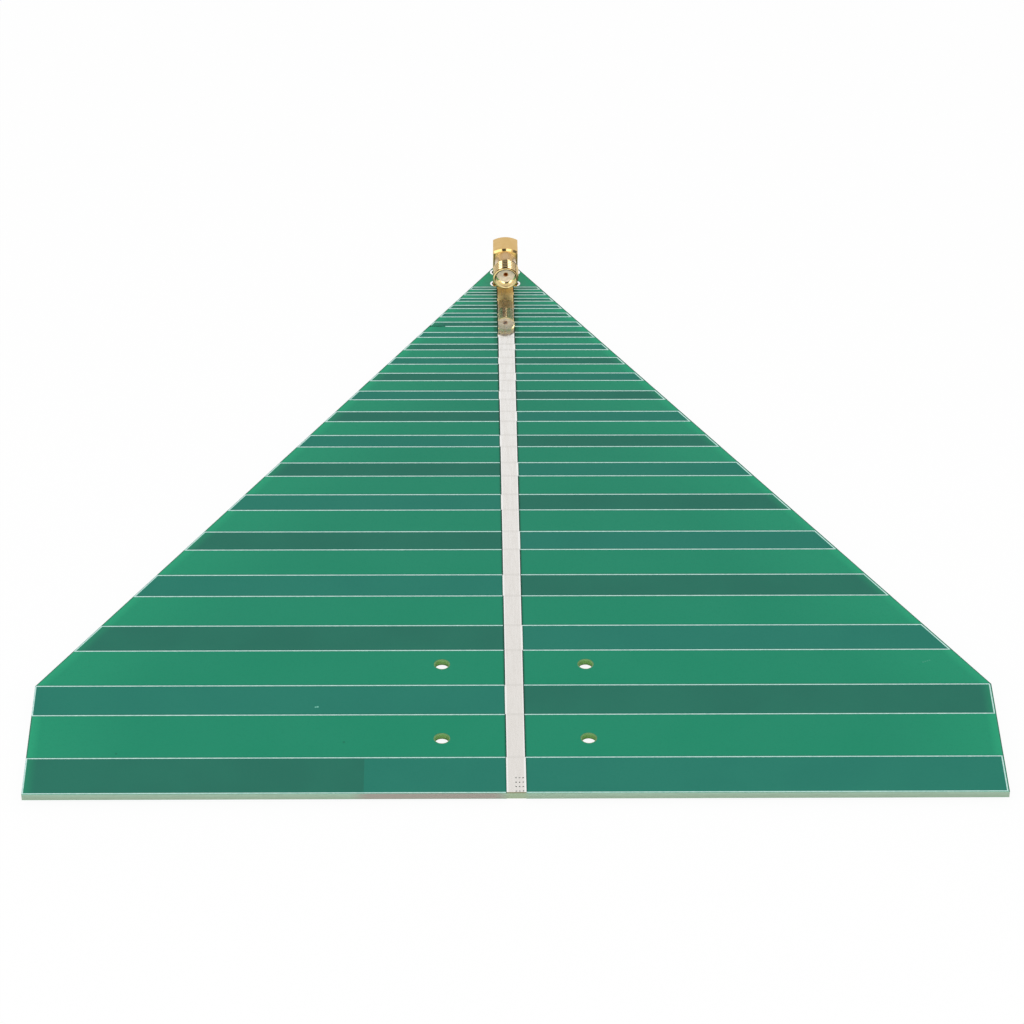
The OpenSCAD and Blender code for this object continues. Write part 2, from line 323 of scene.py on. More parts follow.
class Nodes:
    """A node tree that is filled by expressions."""

    def __init__(self, tree):
        self.tree = tree
        tree.nodes.clear()

    def node(self, kind, settings=None, sockets=None, out=0):
        """Makes any node: type, settings, and the values or links of its sockets. out is the output used."""
        made = self.tree.nodes.new(kind)
        for key, value in (settings or {}).items():
            setattr(made, key, value)
        for key, value in (sockets or {}).items():
            if isinstance(value, Value):
                self.tree.links.new(value.socket, made.inputs[key])
            else:
                made.inputs[key].default_value = value
        return Value(self, made.outputs[out]) if made.outputs else None

    def math(self, operation, *values):
        return self.node("ShaderNodeMath", {"operation": operation}, dict(enumerate(values)))

    def least(self, *values):
        low = values[0]
        for value in values[1:]:
            low = self.math("MINIMUM", low, value)
        return low

    def most(self, *values):
        high = values[0]
        for value in values[1:]:
            high = self.math("MAXIMUM", high, value)
        return high

    def rise(self, value, low, high, start=0.0, end=1.0):
        """Goes smoothly from start to end while value goes from low to high."""
        return self.node("ShaderNodeMapRange", {"interpolation_type": "SMOOTHSTEP"},
                         {0: value, 1: low, 2: high, 3: start, 4: end})

    def fall(self, value, low, high, start=1.0):
        """Goes smoothly from start to nothing while value goes from low to high."""
        return self.rise(value, low, high, start, 0.0)

    def wave(self, value, length):
        return self.math("SINE", value * (2 * math.pi / length))

    def distance(self, across, along):
        return self.math("SQRT", across * across + along * along)

    def mix(self, factor, first, second):
        return self.node("ShaderNodeMix", {"data_type": "RGBA"}, {0: factor, 6: first, 7: second}, out=2)

    def vector(self, x, y, z):
        return self.node("ShaderNodeCombineXYZ", None, {0: x, 1: y, 2: z})

    def parts(self, vector):
        """The three numbers of a vector."""
        return [self.node("ShaderNodeSeparateXYZ", None, {0: vector}, out=axis) for axis in "XYZ"]

    def noise(self, vector, scale, detail=2.0, rough=0.5):
        return self.node("ShaderNodeTexNoise", None,
                         {"Vector": vector, "Scale": scale, "Detail": detail, "Roughness": rough})

    def place(self):
        """The point's own place on the object, in millimetres."""
        return [part * (1 / MM) for part in self.parts(self.node("ShaderNodeTexCoord", out="Object"))]

    def facing(self, axis):
        """How far the surface faces along an axis, from -1 to 1."""
        normal = self.node("ShaderNodeNewGeometry", out="Normal")
        return self.node("ShaderNodeSeparateXYZ", None, {0: normal}, out=axis)

    def ray(self, kind):
        """Whether the surface is met by a ray of this kind."""
        return self.node("ShaderNodeLightPath", out=f"Is {kind} Ray")

    def bump(self, height, depth):
        """Small relief, as deep as depth in millimetres where height is 1."""
        return self.node("ShaderNodeBump", None, {"Height": height, "Distance": depth * MM})


class Finish(Nodes):
    """A material: its shaders and what feeds them."""

    def __init__(self, name):
        self.material = bpy.data.materials.new(name)
        self.material.use_nodes = True
        super().__init__(self.material.node_tree)

    def shader(self, **values):
        """A shader with the values of its sockets, in whose names _ stands for a space."""
        return self.node("ShaderNodeBsdfPrincipled", None,
                         {key.replace("_", " "): value for key, value in values.items()})

    def blend(self, share, first, second):
        """Lays the second shader over a share of the first."""
        return self.node("ShaderNodeMixShader", None, {0: share, 1: first, 2: second})

    def done(self, shader):
        self.node("ShaderNodeOutputMaterial", None, {"Surface": shader})
        return self.material


# Finishes

def side_distance(f, x, front):
    """How far a point is inside the board's straight and slanted sides."""
    side = BOARD_W / 2 - abs(x)
    slant = (side - SLOPE * (front - SIDE_L)) / SLANT_K
    return f.least(side, slant)


def edge_distance(f, x, front):
    """How far a point is inside the board's outline."""
    return f.least(side_distance(f, x, front), front, BOARD_L - front)


def row_at(f, front):
    """The number of the nearest row past the first, and how far inside that row a point is."""
    reach = APEX - front
    step = f.math("ROUND", f.math("LOGARITHM", reach / ROW_FAR, ROW_RATIO))
    step = f.least(f.most(step, 0.0), float(ROW_STEPS))
    middle = ROW_FAR * ROW_RATIO ** step
    return step, middle * (SECOND_BAR / 2 / ROW_FAR) - abs(reach - middle)


def row_edges(f, front):
    """A line along the edges of the rows."""
    margin = row_at(f, front)[1]
    return f.fall(f.least(abs(margin), abs(FIRST_BAR - front)), *ROW_LINE)


def bar_masks(f, x, front):
    """Where a bar lies on the upper face, and where one lies on the lower face."""
    step, margin = row_at(f, front)
    bar = f.rise(margin, -BLUR, BLUR)
    odd = step % 2
    right = f.rise(x, -BLUR, BLUR)
    left = 1 - right
    first = f.rise(FIRST_BAR - front, -BLUR, BLUR)
    stub = f.rise(x + STUB_L, -BLUR, BLUR)
    inside = f.rise(edge_distance(f, x, front) - EDGE_GAP, -BLUR, BLUR)
    upper = inside * f.most(bar * (odd * right + (1 - odd) * left), first * stub)
    lower = inside * f.most(bar * (odd * left + (1 - odd) * right), first * left)
    return upper, lower


def green_coating(name, from_above):
    """Green lacquer: lighter over bare laminate, bluer over near foil, darker over far foil."""
    f = Finish(name)
    x, y, z = f.place()
    front = y - FRONT_Y
    aside = side_distance(f, x, front)
    beside_feeder = abs(x) - FEEDER_W / 2
    upper, lower = bar_masks(f, x, front)
    near, far = (upper, lower) if from_above else (lower, upper)
    spot = f.vector(x, y, z)
    cloud = f.noise(spot, 0.05, 3.0)
    grain = f.noise(spot, 2.2, 2.0, 0.6)
    weave = f.wave(x, WARP) * f.wave(y, WEFT)

    # Over bare laminate, lighter at the tip, and with painted light towards the sides where light comes in
    # through the cut edges
    bare = f.mix(f.rise(front, *GREEN_STRETCH), shade(25, 139, 105), shade(35, 135, 106))
    bare = f.mix(f.rise(front, *TIP_STRETCH, 0.0, 0.95), bare, shade(68, 158, 133))
    glow = f.most(f.fall(aside, *SIDE_GLOW, 0.9), f.fall(aside, *SIDE_WASH, 0.32))
    bare = f.mix(glow, bare, shade(42, 166, 122))
    bare = f.mix(f.rise(weave, -1.0, 1.0, 0.0, 0.10), bare, shade(24, 120, 90))

    # Over foil, with the same painted light on far foil near the sides, and uneven all over
    behind = f.mix(f.fall(aside, *SIDE_BEHIND_GLOW, 0.7), shade(35, 111, 93), shade(40, 142, 106))
    colour = f.mix(far, bare, behind)
    colour = f.mix(near, colour, shade(34, 122, 104))
    colour = f.mix(f.rise(cloud, 0.35, 0.65, 0.0, 0.10), colour, shade(48, 146, 118))
    colour = f.mix(f.rise(grain, 0.45, 0.75, 0.0, 0.12), colour, shade(20, 108, 83))

    # Darker along the rows and the cut sides, with painted shade along the coating's edge beside the feeder
    # strip and the barrel's painted shadow
    colour = f.mix(row_edges(f, front) * 0.30, colour, shade(24, 92, 76))
    colour = f.mix(f.fall(aside, *SIDE_CUT, 0.75), colour, shade(60, 82, 74))
    # Painted shade along the coating's edge beside the feeder strip, deeper towards the jack
    strip_shade = f.fall(beside_feeder, *STRIP_SHADE_SIDE) * f.rise(front, *STRIP_SHADE_STRETCH, 0.55, 0.85)
    colour = f.mix(strip_shade, colour, shade(14, 60, 42))
    # Painted shadow of the jack's barrel on the coating beside the strip
    barrel_shadow = f.rise(front, *BARREL_SHADOW_START, 0.0, 0.6) * f.fall(front, *BARREL_SHADOW_STOP)
    colour = f.mix(f.fall(beside_feeder, *BARREL_SHADOW_SIDE) * barrel_shadow, colour, shade(14, 70, 48))

    for across, along, size, tone in SPECKS if from_above else ():
        away = f.distance(x - across, y - along)
        colour = f.mix(f.fall(away, size * 0.6, size), colour, shade(*tone))
    height = near + weave * 0.02 * (1 - near) + f.noise(spot, 0.9, 2.0) * 0.25
    return f.done(f.shader(Base_Color=colour, Roughness=f.rise(grain, 0.3, 0.7, 0.30, 0.40),
                           Specular_IOR_Level=0.10, Normal=f.bump(height, 0.03)))


def glass_laminate():
    """Cut edges of the glass-fibre board, with its layers, and the walls of its holes."""
    f = Finish("glass_laminate")
    x, y, z = f.place()
    front = y - FRONT_Y
    along = f.noise(f.vector(x * 0.25, y * 0.25, z * 9.0), 1.0, 3.0, 0.6)
    fibre = f.noise(f.vector(x * 1.4, y * 1.4, z * 22.0), 1.0, 2.0, 0.6)
    layer = f.wave(z, LAYER)

    # Cut edges
    edge = f.mix(f.rise(z, 0.0, BOARD_T), shade(142, 162, 140), shade(152, 183, 162))
    edge = f.mix(f.rise(along, 0.35, 0.65, 0.0, 0.5), edge, shade(133, 155, 134))
    edge = f.mix(f.rise(fibre, 0.5, 0.75, 0.0, 0.45), edge, shade(175, 195, 174))
    edge = f.mix(f.rise(layer, 0.2, 1.0, 0.0, 0.18), edge, shade(127, 149, 125))
    front_edge = f.fall(front, *FRONT_EDGE)
    grey = front_edge * f.rise(x, *GREY_START) * f.fall(x, *GREY_STOP)
    edge = f.mix(grey * 0.9, edge, shade(151, 142, 134))
    under_feeder = front_edge * f.fall(abs(x), *UNDER_FEEDER)
    edge = f.mix(under_feeder * 0.5, edge, shade(154, 167, 129))
    edge = f.mix(f.rise(front, *SLANT_START, 0.0, 0.6), edge, shade(130, 152, 142))

    # Walls of the mounting holes, with painted shade at their foot and painted light at their rim
    hole = f.fall(f.distance(abs(x) - HOLE_X, abs(y) - HOLE_Y), *HOLE_AREA)
    wall = f.mix(f.rise(fibre, 0.4, 0.7), shade(118, 172, 88), shade(150, 190, 124))
    wall = f.mix(f.fall(z, *WALL_SHADE_FOOT, 0.7), wall, shade(92, 130, 56))
    wall = f.mix(f.rise(z, *WALL_LIGHT_TOP, 0.0, 0.8), wall, shade(136, 182, 124))
    edge = f.mix(hole, edge, wall)

    # Flat faces, which show only where the coating stops: near the front edge, round the holes, and in the
    # narrow gap beside the feeder strip, whose near-black is partly the laminate's own dark tone and partly
    # painted shade
    flat = f.rise(abs(f.facing("Z")), 0.5, 0.7)
    face = f.mix(f.rise(front, 0.3, 0.6), shade(128, 130, 92), shade(12, 32, 26))
    face = f.mix(hole, face, shade(112, 148, 98))
    colour = f.mix(flat, edge, face)
    return f.done(f.shader(Base_Color=colour, Roughness=f.rise(along, 0.3, 0.7, 0.55, 0.75),
                           Specular_IOR_Level=0.3, Normal=f.bump(fibre + layer * 0.2, 0.02)))


def tinned_copper():
    """Bright tin on the bare foil: a little uneven, with a duller haze, and whiter along its sides and at the
    pads.
    """
    f = Finish("tinned_copper")
    x, y, z = f.place()
    front = y - FRONT_Y
    drag = f.noise(f.vector(x * 2.2, y * 0.22, z), 1.0, 3.0, 0.6)
    cloud = f.noise(f.vector(x, y, z), 0.35, 2.0)
    colour = f.mix(f.rise(front, *TIN_STRETCH), shade(228, 224, 219), shade(237, 235, 232))
    colour = f.mix(f.rise(drag, 0.35, 0.7, 0.0, 0.28), colour, shade(212, 207, 200))
    pads = f.rise(front, *PAD_START)
    sides = f.rise(abs(x) - FEEDER_W / 2, *WHITER_SIDE, 0.0, 0.6)
    colour = f.mix(f.most(sides, pads * 0.9), colour, shade(254, 254, 253))
    colour = f.mix(row_edges(f, front) * 0.18, colour, shade(190, 186, 180))
    bright = f.shader(Base_Color=colour, Metallic=1.0, Roughness=f.rise(cloud, 0.3, 0.7, 0.04, 0.08),
                      Normal=f.bump(cloud + drag * 0.3, 0.006))
    dull = f.shader(Base_Color=colour, Metallic=1.0, Roughness=0.45)
    haze = f.rise(drag, 0.3, 0.7, 0.14, 0.26) * (1 - pads * 0.7)
    return f.done(f.blend(haze, bright, dull))


def hole_tin():
    """Tin on the walls of the plated holes, duller than on the faces, with painted shade, dark brown, in the
    holes at the jack.
    """
    f = Finish("hole_tin")
    x, y, z = f.place()
    patch = f.noise(f.vector(x, y, z), 3.0, 3.0)
    colour = f.mix(f.rise(patch, 0.35, 0.65), shade(240, 238, 234), shade(250, 249, 247))
    # Painted shade in the holes under the jack
    colour = f.mix(f.rise(y - FRONT_Y, *LEG_HOLE_SHADE_START, 0.0, 0.95), colour, shade(70, 42, 24))
    return f.done(f.shader(Base_Color=colour, Metallic=1.0, Roughness=f.rise(patch, 0.3, 0.7, 0.36, 0.5)))


def white_print():
    """Screen-printed outline ink, a little thin in places, with one line that did not print."""
    f = Finish("white_print")
    x, y, z = f.place()
    patch = f.noise(f.vector(x, y, z), 1.6, 3.0, 0.6)
    colour = f.mix(f.rise(patch, 0.3, 0.7), shade(178, 221, 213), shade(207, 240, 233))
    line = APEX - (ROW_FAR + SECOND_BAR / 2) * ROW_RATIO ** GAP_STEP
    gap = f.fall(abs(y - FRONT_Y - line), 0.3, 0.4) * f.rise(GAP_X - x, -0.1, 0.1)
    return f.done(f.shader(Base_Color=colour, Roughness=f.rise(patch, 0.3, 0.7, 0.45, 0.65),
                           Specular_IOR_Level=0.3, Alpha=1 - gap))


def gold_plate():
    """Gold over brass: a turned barrel, a polished crown, and a milled barrel end and block sides."""
    f = Finish("gold_plate")
    x, y, z = f.place()
    to_x = f.facing("X")
    to_y = f.facing("Y")
    away = f.distance(x, z - AXIS_Z)
    turning = f.noise(f.vector(x * 0.05, y * 14.0, z * 0.05), 1.0, 2.0)
    cloud = f.noise(f.vector(x, y, z), 0.45, 3.0)
    colour = f.mix(f.rise(cloud, 0.3, 0.7), shade(213, 178, 116), shade(221, 187, 128))
    colour = f.mix(f.rise(turning, 0.4, 0.7, 0.0, 0.2), colour, shade(200, 160, 92))

    # Neck with a painted reflection, darker in its middle and lighter at its sides, and barrel with painted
    # shade in its thread
    neck = f.rise(y, NECK_END, NECK_END + 0.2) * f.fall(y, BLOCK_Y - 0.1, BLOCK_Y - 0.02)
    neck_sheen = f.mix(f.rise(abs(x), *NECK_SHEEN_SIDE), shade(196, 164, 122), shade(236, 210, 172))
    colour = f.mix(neck * 0.7, colour, neck_sheen)
    barrel = f.fall(y, NECK_END - 0.1, NECK_END)
    colour = f.mix(barrel * 0.8, colour, shade(236, 214, 162))
    threaded = barrel * f.rise(y, THREAD_END + 0.3, THREAD_END + 0.4)
    # Painted shade in the thread's roots, and on the lower flanks towards the barrel's sides
    root = f.fall(away, CORE_R + 0.02, CORE_R + 0.22, 0.95)
    flank = f.fall(away, CORE_R + 0.14, CORE_R + 0.32, 0.8) * f.rise(abs(x), *THREAD_SHADE_SIDE)
    colour = f.mix(threaded * f.most(root, flank), colour, shade(96, 62, 26))

    # Milled faces, and the mouth, with a painted highlight on its inner wall and painted shade on the upper
    # half of its lip
    sides = f.rise(f.most(abs(to_x), abs(to_y)), 0.85, 0.97) * f.rise(y, BLOCK_Y - 0.1, BLOCK_Y - 0.05)
    end = f.fall(y, THREAD_END + 0.12, THREAD_END + 0.3)
    satin = f.most(sides, end)
    colour = f.mix(satin * 0.8, colour, shade(248, 222, 152))
    # Painted highlight: the mouth's inner wall made paler
    mouth = f.fall(away, MOUTH_R + 0.02, MOUTH_R + 0.08) * f.fall(y, FACE_Y + 0.1, FACE_Y + 0.2)
    colour = f.mix(mouth * 0.95, colour, shade(255, 243, 200))
    lip = end * f.fall(away, MOUTH_R + 0.26, MOUTH_R + 0.34) * f.rise(z, AXIS_Z - 1.2, AXIS_Z)
    colour = f.mix(lip * 0.95, colour, shade(64, 42, 22))

    # The block's front face, with painted light above and painted shade at its corners and its foot
    front_face = f.rise(y, BLOCK_Y - 0.06, BLOCK_Y - 0.03) * f.fall(to_y, -0.97, -0.9)
    colour = f.mix(front_face * f.rise(z, *FACE_LIGHT, 0.0, 0.8), colour, shade(255, 228, 146))
    corner = front_face * f.rise(abs(x) - BLOCK_W / 2, *CORNER_SHADE_SIDE)
    colour = f.mix(corner * 0.85, colour, shade(150, 122, 74))
    foot = front_face * f.fall(z, *FACE_FOOT_SHADE)
    colour = f.mix(foot * 0.8, colour, shade(178, 132, 42))

    polish = f.rise(cloud, 0.3, 0.7, 0.03, 0.06)
    return f.done(f.shader(Base_Color=colour, Metallic=1 - f.most(sides * 0.3, end * 0.5, neck * 0.5),
                           Roughness=polish + (0.44 - polish) * f.most(satin, neck * 0.5),
                           Normal=f.bump(turning, 0.002)))


def contact_gold():
    """Thin gold over beryllium copper: orange brown and dull, with painted shade, darker and more orange,
    down the socket.
    """
    f = Finish("contact_gold")
    x, y, z = f.place()
    patch = f.noise(f.vector(x, y, z), 2.4, 3.0)
    colour = f.mix(f.rise(patch, 0.3, 0.7), shade(222, 164, 104), shade(206, 144, 84))
    colour = f.mix(f.rise(y, FACE_Y + 0.05, FACE_Y + 0.5), colour, shade(205, 108, 32))
    return f.done(f.shader(Base_Color=colour, Metallic=0.3, Roughness=f.rise(patch, 0.3, 0.7, 0.36, 0.5)))


def white_insulator():
    """Waxy white fluoroplastic with a faint turned face."""
    f = Finish("white_insulator")
    x, y, z = f.place()
    rings = f.wave(f.distance(x, z - AXIS_Z), RING)
    patch = f.noise(f.vector(x, y, z), 1.8, 3.0)
    colour = f.mix(f.rise(patch, 0.3, 0.7), shade(235, 217, 196), shade(247, 232, 213))
    colour = f.mix(f.rise(rings, 0.0, 1.0, 0.0, 0.12), colour, shade(214, 198, 172))
    return f.done(f.shader(Base_Color=colour, Roughness=f.rise(patch, 0.3, 0.7, 0.42, 0.58),
                           Specular_IOR_Level=0.35, Subsurface_Weight=0.15, Subsurface_Scale=0.6 * MM,
                           Subsurface_Radius=(1.0, 0.9, 0.8), Normal=f.bump(rings, 0.004)))


def solder():
    """Cooled solder, bright with a slightly frosted skin, and with painted shade, dark brown, at its upper
    end inside the holes.
    """
    f = Finish("solder")
    x, y, z = f.place()
    frost = f.noise(f.vector(x, y, z), 5.0, 4.0, 0.6)
    ripple = f.noise(f.vector(x, y, z), 1.3, 2.0)
    colour = f.mix(f.rise(frost, 0.35, 0.7), shade(214, 214, 214), shade(188, 189, 192))
    # Painted shade on the solder's upper end inside the holes
    colour = f.mix(f.rise(z, *SOLDER_SHADE_START, 0.0, 0.95), colour, shade(78, 48, 28))
    return f.done(f.shader(Base_Color=colour, Metallic=1.0, Roughness=f.rise(frost, 0.35, 0.7, 0.16, 0.34),
                           Normal=f.bump(ripple + frost * 0.2, 0.02)))


# Modelling, as by hand

def take(*pieces):
    """Selects these pieces in the whole scene, and nothing else. The first is the active one."""
    if bpy.context.mode != "OBJECT":
        bpy.ops.object.mode_set(mode="OBJECT")
    bpy.ops.object.select_all(action="DESELECT")
    for piece in pieces:
        piece.select_set(True)
    if pieces:
        bpy.context.view_layer.objects.active = pieces[0]


def settle(name):
    """Ends the work on a mesh: it takes its name, and its place goes into its points."""
    bpy.ops.object.mode_set(mode="OBJECT")
    piece = bpy.context.object
    piece.name = name
    bpy.ops.object.transform_apply(location=True, rotation=True, scale=True)
    return piece


def pick(kind, test):
    """Selects the faces or edges that pass a test, and nothing else."""
    bpy.ops.mesh.select_mode(type={"faces": "FACE", "edges": "EDGE"}[kind])
    bpy.ops.mesh.select_all(action="DESELECT")
    shape = bmesh.from_edit_mesh(bpy.context.object.data)
    for item in getattr(shape, kind):
        if test(item):
            item.select_set(True)
    shape.select_flush_mode()
    bmesh.update_edit_mesh(bpy.context.object.data)


def metres(point):
    return [c * MM for c in point]


def move(x=0.0, y=0.0, z=0.0):
    """A transform step, in millimetres."""
    return {"value": metres((x, y, z))}


def draw(points):
    """An outline drawn from one corner to the next, in millimetres. Edit mode stays on."""
    take()
    bpy.ops.mesh.primitive_plane_add(size=MM, location=metres(points[0]))
    bpy.ops.object.mode_set(mode="EDIT")
    bpy.ops.mesh.select_mode(type="VERT")
    bpy.ops.mesh.merge(type="CENTER")
    for start, end in zip(points, points[1:]):
        step = move(*(b - a for a, b in zip(start, end)))
        bpy.ops.mesh.extrude_vertices_move(TRANSFORM_OT_translate=step)
    bpy.ops.mesh.select_all(action="SELECT")


def face_outwards():
    bpy.ops.mesh.select_all(action="SELECT")
    bpy.ops.mesh.normals_make_consistent(inside=False)


def turn(points, centre, axis, sides):
    """Spins a drawn outline into a closed turned shape."""
    draw(points)
    bpy.ops.mesh.spin(steps=sides, angle=2 * math.pi, center=metres(centre), axis=axis)
    bpy.ops.mesh.select_all(action="SELECT")
    bpy.ops.mesh.remove_doubles(threshold=MERGE * MM)
    face_outwards()


def trim(point, normal):
    """Cuts away what lies past a plane, in millimetres."""
    bpy.ops.mesh.select_all(action="SELECT")
    bpy.ops.mesh.bisect(plane_co=metres(point), plane_no=normal, clear_outer=True, threshold=1e-7)


def apply_modifier(piece, kind, **settings):
    """Adds a modifier, sets it and applies it."""
    take(piece)
    modifier = piece.modifiers.new(kind.lower(), kind)
    for key, value in settings.items():
        setattr(modifier, key, value)
    bpy.ops.object.modifier_apply(modifier=modifier.name)


def smooth(piece, degrees):
    """Shades a piece smooth across edges that turn less than an angle."""
    take(piece)
    bpy.ops.object.shade_smooth_by_angle(angle=math.radians(degrees))


def join(name, *pieces):
    """Makes several meshes one piece."""
    take(*pieces)
    bpy.ops.object.join()
    pieces[0].name = name
    return pieces[0]


def copy_to(piece, x, y):
    """A copy with its own mesh, moved by millimetres."""
    take(piece)
    bpy.ops.object.duplicate(linked=False)
    bpy.ops.transform.translate(**move(x, y))
    bpy.ops.object.transform_apply(location=True, rotation=True, scale=True)
    return bpy.context.object


def spread(piece, places):
    """A copy of a piece at every place, instead of the piece."""
    copies = [copy_to(piece, x, y) for x, y in places]
    bpy.data.objects.remove(piece)
    return copies


def jack_block():
    """Square block cut from a round crown, bevelled along the crown's two arcs."""
    take()
    bpy.ops.mesh.primitive_circle_add(vertices=CROWN_SIDES, radius=CROWN_R * MM, fill_type="NGON",
                                      location=metres((0, BLOCK_Y, CROWN_Z)), rotation=(math.pi / 2, 0, 0))
    settle("block")
    bpy.ops.object.mode_set(mode="EDIT")
    trim((BLOCK_W / 2, 0, 0), (1, 0, 0))
    trim((-BLOCK_W / 2, 0, 0), (-1, 0, 0))
    trim((0, 0, BOARD_T), (0, 0, -1))
    bpy.ops.mesh.select_all(action="SELECT")
    bpy.ops.mesh.remove_doubles(threshold=CROWN_MERGE * MM)
    bpy.ops.mesh.extrude_region_move(TRANSFORM_OT_translate=move(y=BLOCK_W))
    face_outwards()
    arc_level = (CROWN_Z + 1) * MM
    nothing = 0.001 * MM

    def on_arc(edge):
        a, b = (v.co for v in edge.verts)
        return min(a.z, b.z) > arc_level and abs(a.y - b.y) < nothing < abs(a.x - b.x)

    pick("edges", on_arc)
    bpy.ops.mesh.bevel(offset=CROWN_BEVEL * MM, offset_type="OFFSET", segments=1, affect="EDGES",
                       clamp_overlap=False)
    block = settle("block")
    apply_modifier(block, "BEVEL", width=BLOCK_ROUND * MM, segments=2, limit_method="ANGLE",
                   angle_limit=math.radians(ROUND_ANGLE))
    return block


def jack_barrel():
    """Neck, thread core, mouth and passage, turned as one ring with eased corners."""
    root = BLOCK_Y + BLOCK_LAP
    bevel_r = MOUTH_R + MOUTH_BEVEL
    bevel_y = THREAD_END + MOUTH_BEVEL
    outline = [
        (NECK_R, root), (NECK_R, NECK_END + 3 * EASE), (NECK_R + EASE, NECK_END + EASE),
        (CORE_R - EASE, NECK_END), (CORE_R, NECK_END - EASE), (CORE_R, THREAD_END + 3 * EASE),
        (CORE_R - 1.5 * EASE, THREAD_END + 0.75 * EASE), (CORE_R - 3.5 * EASE, THREAD_END),
        (bevel_r + 1.5 * EASE, THREAD_END), (bevel_r, THREAD_END + EASE),
        (MOUTH_R + EASE, bevel_y), (MOUTH_R, bevel_y + 2 * EASE), (MOUTH_R, FACE_Y),
        (PASSAGE_R, FACE_Y + EASE / 2), (PASSAGE_R, root), (NECK_R, root),
    ]
    turn([(0, y, AXIS_Z + r) for r, y in outline], (0, 0, AXIS_Z), (0, 1, 0), BARREL_SIDES)
    return settle("barrel")


def jack_thread():
    """The screw thread: one tooth's outline wound along the barrel, run out at both ends."""
    low = CORE_R - SINK
    flank = (THREAD_R - low) * math.tan(math.radians(FLANK_ANGLE))
    crest = THREAD_PITCH / 8
    root = THREAD_PITCH - crest - 2 * flank
    tooth = [(low, 0), (low, root), (THREAD_R, root + flank), (THREAD_R, root + flank + crest),
             (low, THREAD_PITCH)]
    draw([(0, -y, r) for r, y in tooth])
    thread = settle("thread")
    turns = math.ceil((NECK_END - THREAD_END) / THREAD_PITCH) + 1
    apply_modifier(thread, "SCREW", axis="Y", angle=2 * math.pi, screw_offset=-THREAD_PITCH * MM,
                   iterations=turns, steps=THREAD_SIDES, render_steps=THREAD_SIDES, use_merge_vertices=True)
    bpy.ops.object.mode_set(mode="EDIT")
    bpy.ops.mesh.select_all(action="SELECT")
    bpy.ops.transform.translate(**move(0, NECK_END + THREAD_START, AXIS_Z))
    bpy.ops.mesh.remove_doubles(threshold=MERGE * MM)
    first = THREAD_END + EASE
    trim((0, first, 0), (0, -1, 0))
    trim((0, NECK_END, 0), (0, 1, 0))
    shape = bmesh.from_edit_mesh(thread.data)
    for v in shape.verts:
        y = v.co.y / MM
        away = Vector((v.co.x, 0, v.co.z - AXIS_Z * MM))
        limit = low + min(RUN_IN * (y - first), RUN_OUT * (NECK_END - y))
        if away.length > limit * MM:
            away.length = max(limit, low - SINK) * MM
            v.co.x = away.x
            v.co.z = away.z + AXIS_Z * MM
    bmesh.update_edit_mesh(thread.data)
    face_outwards()
    return settle("thread")


def jack_leg():
    """One square leg with a chamfered foot."""
    take()
    top = BOARD_T + LEG_LAP
    bpy.ops.mesh.primitive_cube_add(size=1, location=metres((0, 0, (top - LEG_TAIL) / 2)),
                                    scale=metres((LEG_W, LEG_W, top + LEG_TAIL)))
    settle("leg")
    bpy.ops.object.mode_set(mode="EDIT")
    pick("faces", lambda face: face.normal.z < -0.9)
    bpy.ops.mesh.bevel(offset=LEG_FOOT * MM, segments=2, affect="EDGES")
    pick("edges", lambda edge: abs(edge.verts[0].co.z - edge.verts[1].co.z) > LEG_W * MM)
    bpy.ops.mesh.bevel(offset=LEG_ROUND * MM, segments=2, affect="EDGES")
    return settle("leg")


def jack_shell():
    """The jack's metal body, whole."""
    legs = spread(jack_leg(), LEG_PLACES)
    shell = join("jack_shell", jack_block(), jack_barrel(), jack_thread(), *legs)
    smooth(shell, SHELL_SMOOTH)
    return shell


def solder_joint(rim, neck, level):
    """Fills its hole up to a level and draws in below, from the pad to the leg, in a hollow curve."""
    bore = LEG_BORE_R - SOLDER_SLACK
    outline = [
        (0, level - SOLDER_DISH), (bore * SOLDER_DISH_SHARE, level - SOLDER_DISH + EASE / 2), (bore, level),
        (bore, PAD_FACE + SOLDER_SLACK), (rim, PAD_FACE), (rim + EASE / 2, -SOLDER_LIP),
    ]
    drop = SOLDER_H - SOLDER_LIP - EASE / 2
    for i in range(1, SOLDER_STEPS + 1):
        share = i / SOLDER_STEPS
        outline.append((neck + (rim - neck) * (1 - share) ** SOLDER_HOLLOW, -SOLDER_LIP - drop * share))
    outline.append((0, -SOLDER_H))
    turn([(r, 0, z) for r, z in outline], (0, 0, 0), (0, 0, 1), SOLDER_SIDES)
    return settle("joint")


def solder_fillets():
    """Joints under the board: four round the legs and one round the pin."""
    joints = spread(solder_joint(LEG_RIM, LEG_NECK, LEG_LEVEL), LEG_PLACES)
    joints += spread(solder_joint(PIN_RIM, PIN_NECK, PIN_LEVEL), PIN_PLACES)
    fillets = join("solder_fillets", *joints)
    smooth(fillets, SOLDER_SMOOTH)
    return fillets


# The part

def dress(name, material):
    """Gives a solid its finish."""
    for holder in solids[name].material_slots:
        holder.material = material


def add_piece(piece, material, node):
    """Puts a new piece on the part, in the place of a solid."""
    piece.data.materials.clear()
    piece.data.materials.append(material)
    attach(piece, "root")
    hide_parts(node)


tin = tinned_copper()
dress("laminate", glass_laminate())
dress("top_mask", green_coating("green_coating_above", True))
dress("bottom_mask", green_coating("green_coating_below", False))
dress("top_copper", tin)
dress("bottom_copper", tin)
dress("hole_plating", hole_tin())
dress("top_print", white_print())
dress("jack_insulator", white_insulator())
dress("jack_contact", contact_gold())
add_piece(jack_shell(), gold_plate(), "jack_body")
add_piece(solder_fillets(), solder(), "solder_joints")


# Studio

